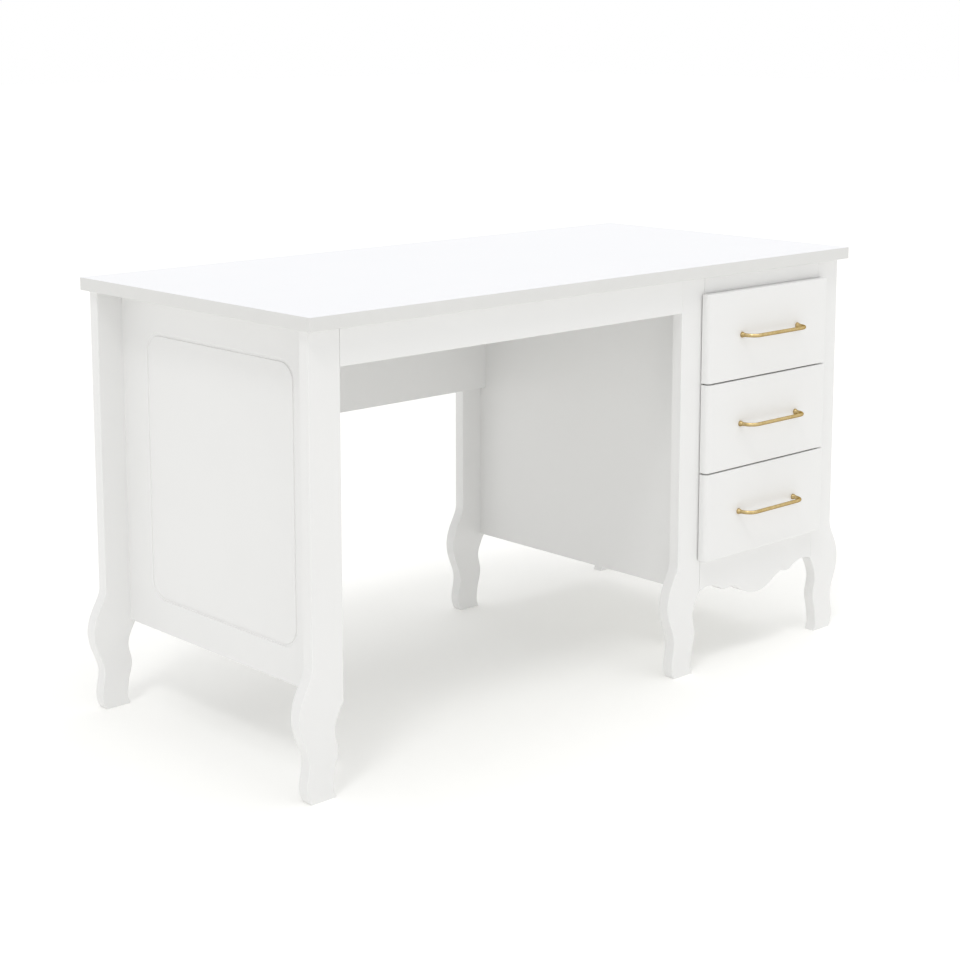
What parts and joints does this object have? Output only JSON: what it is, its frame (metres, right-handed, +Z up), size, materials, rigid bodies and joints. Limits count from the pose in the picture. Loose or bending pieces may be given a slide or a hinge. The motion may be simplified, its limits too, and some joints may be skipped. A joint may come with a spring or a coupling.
{
  "type": "dressing table",
  "caption": "Kneehole dressing table with a drawer pedestal, cabriole-cut board legs, a scalloped apron and bow handles.",
  "frame": {"origin": "on the floor, below the middle of the bounding box", "axes": "+X along the width towards the drawer pedestal, +Y to the back, +Z up"},
  "size_m": [1.3308, 0.6504, 0.75],
  "materials": {
    "white_lacquer": "satin white lacquer over board",
    "white_top": "semi-gloss white lacquer over board",
    "drawer_box_board": "clear-lacquered birch",
    "dowel_wood": "raw beech, fluted",
    "brass_handle": "brushed champagne brass",
    "slide_steel": "zinc-plated pressed steel",
    "fastener_steel": "zinc-plated"
  },
  "bodies": {
    "carcass": {"desk_top": "white_top", "front_centre_leg": "white_lacquer", "front_left_leg": "white_lacquer", "front_right_leg": "white_lacquer", "kneehole_front_rail": "white_lacquer", "kneehole_rear_rail": "white_lacquer", "left_side_panel": "white_lacquer", "pedestal_apron": "white_lacquer", "pedestal_back_panel": "white_lacquer", "pedestal_bottom_panel": "white_lacquer", "pedestal_dowels": "dowel_wood", "pedestal_left_panel": "white_lacquer", "pedestal_right_panel": "white_lacquer", "pedestal_top_rail": "white_lacquer", "rail_dowels": "dowel_wood", "rear_centre_leg": "white_lacquer", "rear_left_leg": "white_lacquer", "rear_right_leg": "white_lacquer", "side_panel_dowels": "dowel_wood", "slide_cabinet_members": "slide_steel", "slide_cabinet_screws": "fastener_steel", "top_fixing_brackets": "fastener_steel", "top_fixing_screws": "fastener_steel"},
    "bottom_drawer": {"bottom_drawer_back": "drawer_box_board", "bottom_drawer_bottom": "drawer_box_board", "bottom_drawer_front": "white_lacquer", "bottom_drawer_front_screws": "fastener_steel", "bottom_drawer_handle": "brass_handle", "bottom_drawer_handle_screws": "fastener_steel", "bottom_drawer_inner_front": "drawer_box_board", "bottom_drawer_left_side": "drawer_box_board", "bottom_drawer_right_side": "drawer_box_board", "bottom_slide_drawer_members": "slide_steel", "bottom_slide_drawer_screws": "fastener_steel"},
    "bottom_slide_middle": {"bottom_slide_middle_members": "slide_steel"},
    "middle_drawer": {"middle_drawer_back": "drawer_box_board", "middle_drawer_bottom": "drawer_box_board", "middle_drawer_front": "white_lacquer", "middle_drawer_front_screws": "fastener_steel", "middle_drawer_handle": "brass_handle", "middle_drawer_handle_screws": "fastener_steel", "middle_drawer_inner_front": "drawer_box_board", "middle_drawer_left_side": "drawer_box_board", "middle_drawer_right_side": "drawer_box_board", "middle_slide_drawer_members": "slide_steel", "middle_slide_drawer_screws": "fastener_steel"},
    "middle_slide_middle": {"middle_slide_middle_members": "slide_steel"},
    "top_drawer": {"top_drawer_back": "drawer_box_board", "top_drawer_bottom": "drawer_box_board", "top_drawer_front": "white_lacquer", "top_drawer_front_screws": "fastener_steel", "top_drawer_handle": "brass_handle", "top_drawer_handle_screws": "fastener_steel", "top_drawer_inner_front": "drawer_box_board", "top_drawer_left_side": "drawer_box_board", "top_drawer_right_side": "drawer_box_board", "top_slide_drawer_members": "slide_steel", "top_slide_drawer_screws": "fastener_steel"},
    "top_slide_middle": {"top_slide_middle_members": "slide_steel"}
  },
  "joints": [
    {"name": "bottom_drawer_slide", "type": "slide", "parent": "carcass", "child": "bottom_drawer", "axis": [0, -1, 0], "range_m": [0, 0.4]},
    {"name": "bottom_middle_member_slide", "type": "slide", "parent": "carcass", "child": "bottom_slide_middle", "axis": [0, -1, 0], "range_m": [0, 0.2]},
    {"name": "middle_drawer_slide", "type": "slide", "parent": "carcass", "child": "middle_drawer", "axis": [0, -1, 0], "range_m": [0, 0.4]},
    {"name": "middle_middle_member_slide", "type": "slide", "parent": "carcass", "child": "middle_slide_middle", "axis": [0, -1, 0], "range_m": [0, 0.2]},
    {"name": "top_drawer_slide", "type": "slide", "parent": "carcass", "child": "top_drawer", "axis": [0, -1, 0], "range_m": [0, 0.4]},
    {"name": "top_middle_member_slide", "type": "slide", "parent": "carcass", "child": "top_slide_middle", "axis": [0, -1, 0], "range_m": [0, 0.2]}
  ],
  "couplings": [
    {"joint": "bottom_middle_member_slide", "follows": "bottom_drawer_slide", "ratio": 0.5},
    {"joint": "middle_middle_member_slide", "follows": "middle_drawer_slide", "ratio": 0.5},
    {"joint": "top_middle_member_slide", "follows": "top_drawer_slide", "ratio": 0.5}
  ]
}
